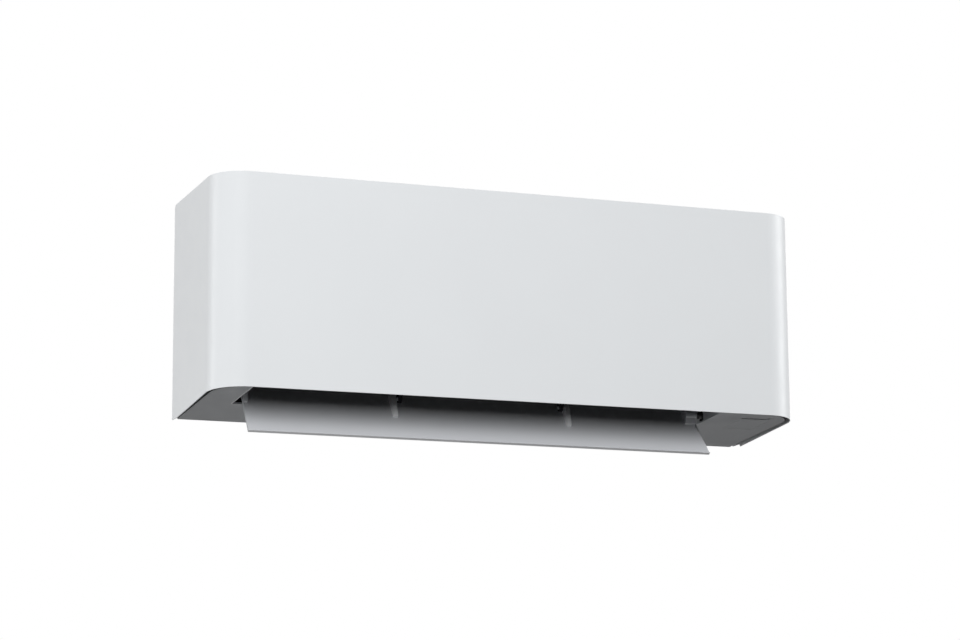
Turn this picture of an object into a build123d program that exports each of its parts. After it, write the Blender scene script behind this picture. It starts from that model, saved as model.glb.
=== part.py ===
"""Wall-hung indoor unit of a split air conditioner, as an assembly of separate pieces.

Millimetres. +X is right as seen from the room, -Y is toward the room and +Z is up.
The origin is the centre of the wall plate's back face, so the wall is the plane y = 0.
Side outlines are given as (depth, height): depth behind the front face, and height above
the front cover's lower edge. The pieces are written as they stand with the outlet open.
"""

from build123d import *
import math
import os

# Driving dimensions
WIDTH = 840.0
DEPTH = 224.0
FRONT_HEIGHT = 286.0
REAR_DROP = 12.5  # the underside falls this much on its way to the wall
SIDE_EDGE = [(-5.0, 0.4), (197.0, -14.0), (229.0, -12.8)]  # lower edge of the side walls
KNOCKOUT = (410.0, 197.0, -10.5)  # left, near and top of the notch for pipes in the right wall
CORNER_RADIUS = 47.0
SHEET = 2.5  # wall of the moulded pieces
WALL_GAP = 1.5  # from the side walls to the wall

# Outlet and deflector
OUTLET_LEFT, OUTLET_RIGHT = -367.0, 301.0
OUTLET_REAR = 111.0
FLAP_LEFT, FLAP_RIGHT = -364.0, 298.0
FLAP_THICKNESS = 3.0
FLAP_BULGE = 2.2
FLAP_OPEN = 58.0  # degrees from shut to the pose that is written
HINGE = (72.8, 6.2)
DRIVE_SIDES = 12
MID_ARMS = (-153.5, 97.0)
ARM_WIDTH = 6.6

# Outlet duct, in side view
LIP = (5.6, 5.2)
TONGUE = (76.0, 86.0)
DUCT_REAR = (113.0, -2.9)
DUCT_TOP = (152.0, 66.0)

# Fan
FAN_AXIS = (125.0, 134.0)
FAN_RADIUS = 46.0
FAN_LEFT, FAN_RIGHT = -362.0, 296.0
FAN_DISC = 2.0  # thickness of the rotor's discs and rings
BLADES = 12
FAN_SIDES = 24
BAYS = 2
SHAFT_RADIUS = 4.0
RUNNING = 0.05  # radial clearance of a shaft in its bearing
BUSH_RADIUS = 12.0
SCROLL_MIDDLE = (177.0, 112.0)
SCROLL_TOP = (168.0, 164.0)
FAN_WALL = [  # outline of the walls at the fan's ends
    (84.0, 72.0), (66.0, 104.0), (72.0, 190.0), (116.0, 230.0), (160.0, 175.0), (167.5, 163.5),
    (176.0, 112.0), (146.0, 52.0),
]
MOTOR_RADIUS = 40.0
MOTOR_SIDES = 16
MOTOR_SEAT = 18.0  # radius of the rubber rings in the motor's cradle
CRADLES = (308.0, 386.0)
CRADLE_WALL = 4.0

# Heat exchanger
COIL_LEFT, COIL_RIGHT = -364.0, 298.0
COIL_THICKNESS = 24.0
COIL_PACKS = {
    "coil_front": ((37.3, 85.5), (46.0, 196.0), 4),
    "coil_upper": ((50.4, 206.5), (108.0, 256.0), 3),
    "coil_rear": ((126.5, 255.5), (196.0, 165.5), 4),
}
END_SHEET = 1.2
TUBE_RADIUS = 3.5
BEND_REACH = 7.2  # middle of a tube bend, out of the end plate
ROW_PITCH = 12.0

# Upright vanes
VANES_PER_GROUP = 5
VANE_PITCH = (OUTLET_RIGHT - OUTLET_LEFT) / (2 * VANES_PER_GROUP)
FIRST_VANES = {
    "left": OUTLET_LEFT + VANE_PITCH / 2,
    "right": OUTLET_LEFT + VANE_PITCH * (VANES_PER_GROUP + 0.5),
}
VANE_THICKNESS = 1.4
VANE_LENGTH = 34.0
VANE_HEIGHT = 46.0
VANE_PIN = 2.0
CRANK = 13.0  # from a vane's axis to its link pin
LINK_PIN = 1.2
RAIL = 3.0

# Cover hinge
COVER_AXIS = (8.5, 278.5)
COVER_PIN = 2.0
LUGS = (-372.0, 372.0)
LUG_WIDTH = 6.0

# Wall plate
PLATE_WIDTH, PLATE_HEIGHT, PLATE_SHEET = 620.0, 150.0, 1.2
PLATE_HOLES = (560.0, 110.0)
PLATE_HOLE_RADIUS = 2.75

# Pipes and drain
GAS_LINE, GAS_RADIUS, GAS_THREAD = (190.0, 32.0), 4.76, 7.94
LIQUID_LINE, LIQUID_RADIUS, LIQUID_THREAD = (190.0, 14.0), 3.175, 5.56
GAS_END, LIQUID_END = -180.0, -220.0
CLAMP_LEFT, CLAMP_RIGHT = -60.0, -30.0
PIPE_SIDES = 6
SPOUT_X = -396.0
SPOUT_HEIGHT = 22.0
SPOUT_RADIUS = 9.0
SPOUT_END = 217.0

# Filters
FILTER_TOP = 275.0
FILTER_FRONT = 18.0
FILTER_LOW = 97.0
FILTER_SPANS = {"left": (-366.0, -36.0), "right": (-34.0, 296.0)}

# Electrics
BOX_LEFT, BOX_RIGHT = 334.0, 394.0
BOX_LOW, BOX_HIGH = 60.0, 262.0
BUTTON_X, BUTTON_HEIGHT = 350.0, 92.0

HATCH = (346.0, 390.0, 27.0, 102.0)  # left, right, near, far
TRAY_LIFT = 0.8  # the underside panel's lower face above the plane of the underside
TRAY_GAP = 3.85  # between the underside panel and the cover, at the front
TRAY_SHIFT = 0.85  # to the right, so that the gap is wider at the left
TRAY_RIM = 9.0
INNER_HALF = WIDTH / 2 - SHEET - 2.0  # outer face of the pieces inside the cover
CASE_BACK = 210.0  # depth of the rear casing's back wall
CHANNEL = 172.0  # depth where the pipe channel under the casing starts
STANDING = (Align.CENTER, Align.CENTER, Align.MIN)
SIDE_VIEW = Plane(origin=(0, 0, 0), x_dir=(0, 1, 0), z_dir=(1, 0, 0))


def side(point):
    """A (depth, height) point in side-view coordinates."""
    depth, height = point
    return (depth - DEPTH, height - FRONT_HEIGHT / 2)


def place(x, point):
    """A (depth, height) point at x, in the frame of the part."""
    depth, height = side(point)
    return (x, depth, height)


def lower_edge(depth):
    """Height of the plane of the underside at a depth."""
    return -REAR_DROP * depth / DEPTH


def tray_top(depth):
    """Height of the underside panel's upper face at a depth."""
    return lower_edge(depth) + TRAY_LIFT + SHEET


def step(start, end):
    """Unit direction from one side-view point to another, and the distance."""
    run = end[0] - start[0]
    rise = end[1] - start[1]
    length = math.hypot(run, rise)
    return run / length, rise / length, length


def along(start, end, share, off=0.0):
    """The point at a share of the way from start to end, moved off to the left by off."""
    run, rise, length = step(start, end)
    return (
        start[0] + run * length * share - rise * off,
        start[1] + rise * length * share + run * off,
    )


def prism(points, left, right):
    """Straight extrusion along X of a side outline."""
    outline = make_face(Polyline(*[side(p) for p in points], close=True))
    return extrude(SIDE_VIEW.offset(left) * outline, right - left)


def strip(start, end, thickness, left, right):
    """Flat wall from start to end in side view, its thickness to the left of that way."""
    corners = [start, end, along(start, end, 1, thickness), along(start, end, 0, thickness)]
    return prism(corners, left, right)


def axle(point, radius, left, right):
    """Cylinder along X."""
    plane = Plane(origin=place(left, point), x_dir=(0, 1, 0), z_dir=(1, 0, 0))
    return extrude(plane * Circle(radius), right - left)


def bar(point, radius, sides, left, right):
    """Many-sided bar along X, for round forms that nothing turns in."""
    plane = Plane(origin=place(left, point), x_dir=(0, 1, 0), z_dir=(1, 0, 0))
    return extrude(plane * RegularPolygon(radius, sides), right - left)


def block(left, right, near, far, low, high):
    """Box between depths near and far and heights low and high."""
    return prism([(near, low), (far, low), (far, high), (near, high)], left, right)


def plan_outline(inset, rear, front=0.0, rounder=0.0):
    """Plan face with the two rounded front corners, inset from the cover's outside."""
    half = WIDTH / 2 - inset
    near = max(inset, front)
    length = rear - near
    face = Pos(0, (near + rear) / 2 - DEPTH) * Rectangle(2 * half, length)
    corners = face.vertices().sort_by(Axis.Y)[:2]
    return fillet(corners, max(CORNER_RADIUS - inset + rounder, 1.0))


def upright(face, low, high):
    """Extrusion of a plan face between two heights."""
    return extrude(Pos(0, 0, low - FRONT_HEIGHT / 2) * face, high - low)


def below_slope(offset, deep=40.0):
    """The space under the plane of the underside, raised by offset, across the whole part."""
    points = [
        (-5.0, lower_edge(-5.0) + offset),
        (DEPTH + 5.0, lower_edge(DEPTH + 5.0) + offset),
        (DEPTH + 5.0, -deep),
        (-5.0, -deep),
    ]
    return prism(points, -WIDTH, WIDTH)


def above_slope(offset_height, high=400.0):
    """The space over the plane of the underside, raised by an offset."""
    points = [
        (-5.0, lower_edge(-5.0) + offset_height),
        (DEPTH + 5.0, lower_edge(DEPTH + 5.0) + offset_height),
        (DEPTH + 5.0, high),
        (-5.0, high),
    ]
    return prism(points, -WIDTH, WIDTH)


def along_depth(base, radius, length):
    """Cylinder that starts at base and runs toward the wall."""
    return Pos(*base) * Rot(-90, 0, 0) * Cylinder(radius, length, align=STANDING)


# --- casing ---


def cover_hinge_arms():
    """Arms under the cover's top lip, with the pins that turn in the lugs."""
    arms = []
    outline = [(2.0, 268.0), (2.0, 284.0), (12.0, 284.0), (12.5, 276.0), (9.0, 274.0)]
    for x in LUGS:
        right = x + LUG_WIDTH / 2 + 0.4
        arms.append(prism(outline, right, right + 3.0))
        arms.append(axle(COVER_AXIS, COVER_PIN, x - LUG_WIDTH / 2, right))
    return arms


def front_cover():
    """Wrap-around cover: front, rounded corners, side walls and a top lip."""
    top = FRONT_HEIGHT
    shell = upright(plan_outline(0.0, DEPTH - WALL_GAP), -20.0, top)
    shell -= upright(plan_outline(SHEET, DEPTH + 5.0), -25.0, top + 5.0)
    shell -= prism(SIDE_EDGE + [(DEPTH + 5.0, -40.0), (-5.0, -40.0)], -WIDTH, WIDTH)
    left, near, high = KNOCKOUT
    shell -= block(left, WIDTH, near, DEPTH + 5.0, -40.0, high)
    chamfer_line = [(DEPTH - 6.0, top), (DEPTH, top - 5.0), (DEPTH, top + 1.0)]
    shell -= prism(chamfer_line, -WIDTH, WIDTH)
    lip = upright(plan_outline(SHEET - 0.2, 14.0 + CORNER_RADIUS), top - SHEET, top)
    lip -= block(-WIDTH, WIDTH, 14.0, DEPTH, 0.0, top + 5.0)
    for x in LUGS:
        lip -= block(x - 4.5, x + 4.5, 4.0, 20.0, 0.0, top + 5.0)
    shell += lip
    for arm in cover_hinge_arms():
        shell += arm
    for x in (-190.0, 190.0):
        shell += block(x - 1.0, x + 1.0, SHEET - 0.3, 7.0, 40.0, 250.0)
    return shell


def bottom_panel():
    """Underside tray, set inside the cover, open where the outlet and the hatch are."""
    outline = Pos(TRAY_SHIFT, 0) * plan_outline(SHEET + TRAY_GAP, DEPTH - WALL_GAP, rounder=6.0)
    outline = fillet(outline.vertices().sort_by(Axis.Y)[-2:], 1.5)
    tray = upright(outline, -REAR_DROP - 5.0, 14.0)
    hollow = upright(offset(outline, -2.0), -REAR_DROP - 6.0, 15.0)
    floor = tray - below_slope(TRAY_LIFT)
    floor -= above_slope(TRAY_LIFT + SHEET)
    rim = tray - hollow
    rim -= below_slope(TRAY_LIFT)
    rim -= above_slope(TRAY_LIFT + TRAY_RIM)
    beside = SHEET + 0.3
    rim -= block(OUTLET_LEFT - beside, OUTLET_RIGHT + beside, -5.0, 30.0, -30.0, 30.0)
    tray = floor + rim
    tray -= block(OUTLET_LEFT, OUTLET_RIGHT, -5.0, OUTLET_REAR, -30.0, 30.0)
    left, right, near, far = HATCH
    gap = 0.25
    tray -= block(left - gap, right + gap, near - gap, far + 2 * gap, -30.0, 30.0)
    return tray


def service_hatch():
    """Small snap-in plate at the right end of the underside, with a finger slot."""
    left, right, near, far = HATCH
    plate = block(left, right, near, far, -30.0, 30.0)
    plate -= below_slope(TRAY_LIFT)
    plate -= above_slope(TRAY_LIFT + SHEET)
    plate -= block(left - 1.0, right - 4.0, near - 1.0, near + 11.0, -30.0, 30.0)
    for x in (left + 6.0, right - 9.0):
        plate += block(x, x + 3.0, far - 8.0, far - 6.0, -4.0, 9.0)
    return plate


def spout(radius, start):
    """Bar along the depth for the drain tube or its bore."""
    return along_depth(place(SPOUT_X, (start, SPOUT_HEIGHT)), radius, SPOUT_END - start)


def rear_casing():
    """Back wall, side walls, top rim, channel for the pipes, and the tube for the drain hose."""
    half = INNER_HALF
    side_outline = [
        (48.0, lower_edge(48.0) + 12.0),
        (DEPTH - WALL_GAP, lower_edge(DEPTH) + 12.0),
        (DEPTH - WALL_GAP, 283.0),
        (204.0, 283.0),
        (204.0, 275.0),
        (150.0, 275.0),
        (120.0, 240.0),
        (110.0, 120.0),
        (48.0, 60.0),
    ]
    casing = block(-half, half, CASE_BACK, CASE_BACK + SHEET, 50.0, 283.0)
    casing += block(-half, half, 203.0, DEPTH - WALL_GAP, 280.5, 283.0)
    for x in (-half, half - SHEET):
        casing += prism(side_outline, x, x + SHEET)
    casing += block(-half, 306.0, CHANNEL, CASE_BACK + SHEET, 50.0, 50.0 + SHEET)
    foot = tray_top(CHANNEL - SHEET)
    casing += strip((CHANNEL, foot), (CHANNEL, 50.0 + SHEET), SHEET, -half + SHEET + 4.5, 306.0)
    for x in (-380.0, -345.0, 345.0, 380.0):
        casing += block(x - 1.0, x + 1.0, CASE_BACK + SHEET - 0.2, DEPTH - 2.0, 60.0, 281.0)
    for x in (-240.0, 240.0):
        casing += block(x - 30.0, x + 30.0, CASE_BACK + SHEET - 0.2, 219.0, 225.0, 228.0)
        casing += block(x - 30.0, x + 30.0, 216.5, 219.0, 218.0, 226.0)
        casing += block(x - 12.0, x + 12.0, 184.0, CASE_BACK + 0.2, 271.0, FILTER_TOP - 2.4)
    casing += spout(SPOUT_RADIUS, CHANNEL - SHEET / 2)
    return casing - spout(SPOUT_RADIUS - 2.0, CHANNEL - SHEET - 1.0)


def rear_air_guide():
    """Scroll behind the fan, with the rear drain trough on top."""
    middle_out = (SCROLL_MIDDLE[0] + SHEET, SCROLL_MIDDLE[1] - 0.6)
    low_out = along(DUCT_REAR, DUCT_TOP, 1, -SHEET)
    high_out = (SCROLL_TOP[0] + SHEET * 0.9, SCROLL_TOP[1] + 1.0)
    edges = [
        ThreePointArc(side(DUCT_TOP), side(SCROLL_MIDDLE), side(SCROLL_TOP)),
        Line(side(SCROLL_TOP), side(high_out)),
        ThreePointArc(side(high_out), side(middle_out), side(low_out)),
        Line(side(low_out), side(DUCT_TOP)),
    ]
    left, right = -369.5, 303.5
    guide = extrude(SIDE_VIEW.offset(left) * make_face(edges), right - left)
    curb = [(168.2, 164.6), (170.2, 164.0), (173.0, 158.0), (171.0, 156.0), (167.5, 163.8)]
    guide += prism(curb, left, right)
    guide += block(left, right, 171.0, CASE_BACK, 156.0, 158.0)
    rib = [(180.5, 112.0), (CASE_BACK, 112.0), (CASE_BACK, 157.0), (172.0, 157.0)]
    for x in (-200.0, 200.0):
        guide += prism(rib, x - 1.0, x + 1.0)
    return guide


def outlet_housing():
    """Front duct wall with the tongue, front drain pan, end walls and lower rear wall."""
    left, right = OUTLET_LEFT - SHEET, OUTLET_RIGHT + SHEET
    wall = strip(LIP, TONGUE, SHEET, left, right)
    tongue = [(74.0, 83.0), (79.0, 88.0), (77.0, 97.0), (74.5, 97.0), (74.5, 88.0)]
    wall += prism(tongue, left, right)
    pan = [
        (12.5, 82.0), (72.0, 82.0), (74.0, 84.5), (15.0, 84.5), (15.0, 94.5), (21.0, 94.5),
        (21.0, 97.0), (12.5, 97.0),
    ]
    wall += prism(pan, left, right)
    wall += strip(DUCT_REAR, DUCT_TOP, -SHEET, left, right)
    ends = [LIP, TONGUE, (79.0, 88.0), DUCT_TOP, DUCT_REAR, (7.0, tray_top(7.0))]
    for x in (left, right - SHEET):
        wall += prism(ends, x, x + SHEET)
        wall += block(x, x + SHEET, 12.5, 72.0, 82.0, 94.0)
    wall -= axle(HINGE, 3.0 + RUNNING, left - 1.0, left + SHEET + 1.0)
    wall -= bar(HINGE, 6.5, DRIVE_SIDES, right - SHEET - 1.0, right + 1.0)
    return wall - below_slope(TRAY_LIFT + SHEET)


def flap_bracket(arm_x, toward):
    """Hanger from the duct's front wall down to the pin of a mid arm."""
    near = arm_x + toward * (ARM_WIDTH / 2 + 3.0)
    far = near + toward * 5.0
    left, right = min(near, far), max(near, far)
    top_near = along(LIP, TONGUE, 0.76)
    top_far = along(LIP, TONGUE, 0.97)
    depth, height = HINGE
    plate = prism([(depth - 4.9, height), top_near, top_far, (depth + 4.9, height)], left, right)
    plate += bar(HINGE, 5.3, DRIVE_SIDES, left, right)
    plate -= axle(HINGE, 2.5 + RUNNING, left - 1.0, right + 1.0)
    return plate


def top_grille():
    """Inlet grille with its rim, and the lugs that carry the cover's hinge pins."""
    near, far = 18.5, 202.0
    high, low = FRONT_HEIGHT, FRONT_HEIGHT - 2.5
    plan = plan_outline(SHEET + 2.0, far, near)
    plate = upright(plan, low, high)
    rim = upright(plan, low - 7.0, low) - upright(offset(plan, -2.0), low - 8.0, low + 1.0)
    plate += rim
    columns, rows = 3, 5
    column_pitch, row_pitch = 266.0, 34.0
    slot_length, slot_width = 258.0, 28.0
    grid = GridLocations(column_pitch, row_pitch, columns, rows)
    middle = Pos(0, (near + far) / 2 - DEPTH, (low + high) / 2 - FRONT_HEIGHT / 2)
    plate -= [middle * spot * Box(slot_length, slot_width, 10.0) for spot in grid]
    for x in LUGS:
        left, right = x - LUG_WIDTH / 2, x + LUG_WIDTH / 2
        lug = bar(COVER_AXIS, 3.9, DRIVE_SIDES, left, right)
        low_edge, high_edge = COVER_AXIS[1] - 3.0, COVER_AXIS[1] + 3.7
        lug += block(left, right, COVER_AXIS[0], near + 1.0, low_edge, high_edge)
        lug -= axle(COVER_AXIS, COVER_PIN + RUNNING, left - 1.0, right + 1.0)
        plate += lug
    return plate


# --- wall plate, pipes and drain ---


def wall_plate():
    """Bent sheet-steel plate with screw holes, two hooks and folded edges."""
    back = DEPTH
    front = DEPTH - PLATE_SHEET
    middle = FRONT_HEIGHT / 2
    half_w, half_h = PLATE_WIDTH / 2, PLATE_HEIGHT / 2
    plate = block(-half_w, half_w, front, back, middle - half_h, middle + half_h)
    for x in (-1, 1):
        edge = x * (half_w - PLATE_SHEET / 2)
        left, right = edge - PLATE_SHEET / 2, edge + PLATE_SHEET / 2
        low, high = middle - half_h + 10.0, middle + half_h - 10.0
        plate += block(left, right, front - 6.0, front, low, high)
    plate += block(-200.0, 200.0, front - 5.0, front, middle - half_h, middle - half_h + PLATE_SHEET)
    for x in (-240.0, 240.0):
        top = middle + half_h
        plate += block(x - 25.0, x + 25.0, 213.5, front, top - PLATE_SHEET, top)
        plate += block(x - 25.0, x + 25.0, 213.5, 213.5 + PLATE_SHEET, top, top + 5.0)
    for x in (-PLATE_HOLES[0] / 2, PLATE_HOLES[0] / 2):
        for z in (-PLATE_HOLES[1] / 2, PLATE_HOLES[1] / 2):
            plate -= Pos(x, 0, z) * Rot(90, 0, 0) * Cylinder(PLATE_HOLE_RADIUS, 20.0)
    for x in (-160.0, 160.0):
        plate -= Pos(x, 0, 0) * Box(80.0, 20.0, 70.0)
    return plate


def pipe(radius, line, left_end, rise_x, inlet):
    """Copper pipe along the rear channel, up beside the coil and into its end plate."""
    turn = 12.0
    up = Vector(*place(rise_x, inlet)) - Vector(*place(rise_x, line))
    rise = up.normalized() * turn
    low, high = Vector(*place(rise_x, line)), Vector(*place(rise_x, inlet))
    points = [
        Vector(*place(left_end, line)),
        low - Vector(turn, 0, 0),
        low + rise,
        high - rise,
        high - Vector(turn, 0, 0),
        Vector(*place(COIL_RIGHT + END_SHEET, inlet)),
    ]
    start = Plane(origin=points[0], z_dir=(1, 0, 0))
    section = start * RegularPolygon(radius, PIPE_SIDES)
    return sweep(section, path=Polyline(*points), transition=Transition.RIGHT)


def flare_union(thread_radius, line, right_end):
    """Brass union on a pipe's end: hexagon and threaded nose, pointing left."""
    nose = axle(line, thread_radius, right_end - 26.0, right_end - 12.0)
    plane = Plane(origin=place(right_end - 12.0, line), x_dir=(0, 1, 0), z_dir=(1, 0, 0))
    return nose + extrude(plane * RegularPolygon(thread_radius + 2.5, 6), 12.0)


def pipe_clamp():
    """Moulded bar across the channel that holds both pipes."""
    foot, back, top = CHANNEL, 204.0, 44.0
    outline = [(foot, tray_top(foot)), (back, tray_top(back)), (back, top), (foot, top)]
    clamp = prism(outline, CLAMP_LEFT, CLAMP_RIGHT)
    for line, radius in ((GAS_LINE, GAS_RADIUS), (LIQUID_LINE, LIQUID_RADIUS)):
        centre = place(CLAMP_LEFT - 1.0, line)
        hole = Plane(origin=centre, z_dir=(1, 0, 0)) * RegularPolygon(radius, PIPE_SIDES)
        clamp -= extrude(hole, CLAMP_RIGHT - CLAMP_LEFT + 2.0)
    return clamp


# --- heat exchanger ---


def pack_corners(start, end):
    """Side outline of a fin pack."""
    half = COIL_THICKNESS / 2
    return [
        along(start, end, 0, half),
        along(start, end, 0, -half),
        along(start, end, 1, -half),
        along(start, end, 1, half),
    ]


def coil_pack(start, end):
    """One fin pack."""
    return prism(pack_corners(start, end), COIL_LEFT, COIL_RIGHT)


def tube_places(start, end, count):
    """Centres of the tubes of a pack, as pairs across its thickness."""
    pairs = []
    for number in range(count):
        share = (number + 0.5) / count
        pairs.append(
            (along(start, end, share, ROW_PITCH / 2), along(start, end, share, -ROW_PITCH / 2))
        )
    return pairs


def bend(first, second, x, outward):
    """Tube bend between two tube centres, standing out of an end plate."""
    reach = x + outward * BEND_REACH
    corners = [place(x, first), place(reach, first), place(reach, second), place(x, second)]
    profile = Plane(origin=corners[0], z_dir=(outward, 0, 0)) * RegularPolygon(TUBE_RADIUS, 6)
    return sweep(profile, path=Polyline(*corners), transition=Transition.RIGHT)


def coil_inlets():
    """The two tube centres, at the rear pack's lower end, that take the pipes."""
    return tube_places(*COIL_PACKS["coil_rear"])[-1]


def coil_bends(x, outward):
    """The bends at one end; at the right end the pipes take the place of one."""
    pairs = [pair for pack in COIL_PACKS.values() for pair in tube_places(*pack)]
    if outward > 0:
        pairs.remove(coil_inlets())
    return Compound(children=[bend(*pair, x, outward) for pair in pairs])


def coil_end_plate(left):
    """Sheet plate on the end of the packs, joined where they meet."""
    outlines = [pack_corners(start, end) for start, end, _ in COIL_PACKS.values()]
    joints = [
        [before[3], before[2], after[1], after[0]]
        for before, after in zip(outlines, outlines[1:])
    ]
    pieces = [prism(corners, left, left + END_SHEET) for corners in outlines + joints]
    return pieces[0] + pieces[1:]


# --- fan ---


def blade_face(number):
    """Side-view outline of one forward-curved blade."""
    turn = 360.0 * number / BLADES
    inner, outer = FAN_RADIUS * 0.78, FAN_RADIUS - 0.8

    def polar(radius, degrees):
        angle = math.radians(degrees + turn)
        return side(
            (FAN_AXIS[0] + radius * math.cos(angle), FAN_AXIS[1] + radius * math.sin(angle))
        )

    middle = (inner + outer) / 2
    outline = [
        polar(inner, 0.0), polar(middle, 4.2), polar(outer, 12.4),
        polar(middle, 7.2), polar(inner, 2.4),
    ]
    return make_face(Polyline(*outline, close=True))


def fan_rotor():
    """Cross-flow rotor: discs and rings with curved blades between them."""
    left, right = FAN_LEFT, FAN_RIGHT
    disc = FAN_DISC
    rotor = bar(FAN_AXIS, FAN_RADIUS, FAN_SIDES, left, left + disc)
    rotor += bar(FAN_AXIS, FAN_RADIUS, FAN_SIDES, right - disc, right)
    bay = (right - left - disc) / BAYS
    for number in range(1, BAYS):
        x = left + bay * number
        hole = bar(FAN_AXIS, FAN_RADIUS * 0.7, BLADES, x - 1.0, x + disc + 1.0)
        rotor += bar(FAN_AXIS, FAN_RADIUS, FAN_SIDES, x, x + disc) - hole
    rotor += [
        extrude(SIDE_VIEW.offset(left + disc / 2) * blade_face(number), right - left - disc)
        for number in range(BLADES)
    ]
    rotor += bar(FAN_AXIS, 10.0, 12, right - 24.0, right - disc)
    rotor -= axle(FAN_AXIS, SHAFT_RADIUS, right - 20.0, right + 1.0)
    rotor -= axle(FAN_AXIS, SHAFT_RADIUS, left - 1.0, left + disc + 1.0)
    return rotor


def fan_shaft():
    """Steel stub pressed into the rotor's left disc."""
    return axle(FAN_AXIS, SHAFT_RADIUS, FAN_LEFT - 20.0, FAN_LEFT + FAN_DISC)


def motor_shaft():
    """The motor's shaft, fixed in the rotor's hub."""
    return axle(FAN_AXIS, SHAFT_RADIUS, FAN_RIGHT - 20.0, 340.0)


def fan_bearing():
    """Rubber bush with the left bearing in it."""
    bush = bar(FAN_AXIS, BUSH_RADIUS, MOTOR_SIDES, -380.0, -369.5)
    return bush - axle(FAN_AXIS, SHAFT_RADIUS + RUNNING, -381.0, -369.0)


def bearing_bracket():
    """Wall at the left end of the fan, with the seat of the bearing."""
    wall = prism(FAN_WALL, -372.0, -369.5)
    wall += bar(FAN_AXIS, BUSH_RADIUS + 4.0, MOTOR_SIDES, -380.0, -372.0)
    wall -= bar(FAN_AXIS, BUSH_RADIUS, MOTOR_SIDES, -381.0, -369.0)
    return wall


def motor_bracket():
    """Wall at the right end of the fan, and the cradle of the motor."""
    wall = prism(FAN_WALL, 303.5, 306.0)
    wall -= bar(FAN_AXIS, 16.0, MOTOR_SIDES, 303.0, 307.0)
    near, far, top = 90.0, 160.0, FAN_AXIS[1]
    cradle = [(near, tray_top(near)), (far, tray_top(far)), (far, top), (near, top)]
    for x in CRADLES:
        plate = prism(cradle, x, x + CRADLE_WALL)
        plate -= bar(FAN_AXIS, MOTOR_SEAT, MOTOR_SIDES, x - 1.0, x + CRADLE_WALL + 1.0)
        wall += plate
    wall += block(311.5, 387.0, 122.0, 126.0, 0.0, 60.0)
    wall += block(305.5, 308.5, 90.0, 150.0, 66.0, 90.0)
    return wall


def fan_motor():
    """Motor can with its end bosses in rubber rings."""
    can = bar(FAN_AXIS, MOTOR_RADIUS, MOTOR_SIDES, 314.0, 384.0)
    can += bar(FAN_AXIS, MOTOR_SEAT, MOTOR_SIDES, 307.0, 314.5)
    can += bar(FAN_AXIS, MOTOR_SEAT, MOTOR_SIDES, 383.5, 391.0)
    can -= axle(FAN_AXIS, SHAFT_RADIUS + RUNNING, 300.0, 342.0)
    return can


def motor_cap():
    """Straps over the motor's rubber rings."""
    straps = []
    for x in CRADLES:
        strap = block(x, x + CRADLE_WALL, 98.0, 152.0, FAN_AXIS[1], FAN_AXIS[1] + 24.0)
        strap -= bar(FAN_AXIS, MOTOR_SEAT, MOTOR_SIDES, x - 1.0, x + CRADLE_WALL + 1.0)
        straps.append(strap)
    return Compound(children=straps)


# --- deflector ---


def shut_point(depth):
    """Outer face of the shut deflector at a depth."""
    return (depth, lower_edge(depth) + 1.0)


def open_up(shape):
    """Turn a piece of the shut deflector to the pose that is written."""
    return shape.rotate(Axis(place(0, HINGE), (1, 0, 0)), FLAP_OPEN)


def arm_outline(reach):
    """Side view of an arm that runs down the shut deflector by reach in front of the hinge."""
    depth, height = HINGE
    near, far = depth - reach, depth + 15.0
    sunk = FLAP_BULGE - 1.4
    top = height + 3.0
    return [
        (near, shut_point(near)[1] - sunk), (far, shut_point(far)[1] - sunk),
        (depth + 4.4, top), (depth - 4.6, top), (near, shut_point(near)[1] + 4.0),
    ]


def flap():
    """Deflector plate with its arms, end block and pins."""
    front, rear = shut_point(5.8), shut_point(109.0)
    middle = along(front, rear, 0.5, -FLAP_BULGE)
    front_in = along(front, rear, 0, FLAP_THICKNESS)
    rear_in = along(front, rear, 1, FLAP_THICKNESS)
    middle_in = along(front, rear, 0.5, FLAP_THICKNESS - FLAP_BULGE)
    edges = [
        ThreePointArc(side(front), side(middle), side(rear)),
        Line(side(rear), side(rear_in)),
        ThreePointArc(side(rear_in), side(middle_in), side(front_in)),
        Line(side(front_in), side(front)),
    ]
    plate = extrude(SIDE_VIEW.offset(FLAP_LEFT) * make_face(edges), FLAP_RIGHT - FLAP_LEFT)
    depth, height = HINGE
    for x in MID_ARMS:
        plate += prism(arm_outline(27.0), x - ARM_WIDTH / 2, x + ARM_WIDTH / 2)
    left_arm, right_arm = MID_ARMS
    plate += axle(HINGE, 2.5, left_arm, left_arm + ARM_WIDTH / 2 + 9.0)
    plate += axle(HINGE, 2.5, right_arm - ARM_WIDTH / 2 - 9.0, right_arm)
    plate += prism(arm_outline(14.0), -362.0, -357.0)
    plate += axle(HINGE, 3.0, OUTLET_LEFT - SHEET - 1.0, -359.0)
    plate += prism(arm_outline(11.0), 275.0, 291.0)
    plate += bar(HINGE, 6.5, DRIVE_SIDES, 275.0, 291.0)
    plate -= bar(HINGE, 3.0, DRIVE_SIDES, 282.0, 295.0)
    return open_up(plate)


def flap_drive():
    """Hub between the deflector's block and its motor."""
    hub = bar(HINGE, 3.0, DRIVE_SIDES, 282.0, 296.0)
    hub += bar(HINGE, 5.0, DRIVE_SIDES, 295.5, 305.0)
    hub += axle(HINGE, 2.5, 304.5, 314.0)
    return open_up(hub)


def flap_motor():
    """Small geared stepper, its shaft set off from the middle of its can."""
    centre = (HINGE[0], HINGE[1] + 8.0)
    can = bar(centre, 12.0, MOTOR_SIDES, 307.5, 324.0)
    can += block(306.5, 308.0, HINGE[0] - 19.0, HINGE[0] + 19.0, centre[1] - 3.5, centre[1] + 3.5)
    can -= axle(HINGE, 2.5 + RUNNING, 300.0, 316.0)
    return can


# --- upright vanes ---


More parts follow.
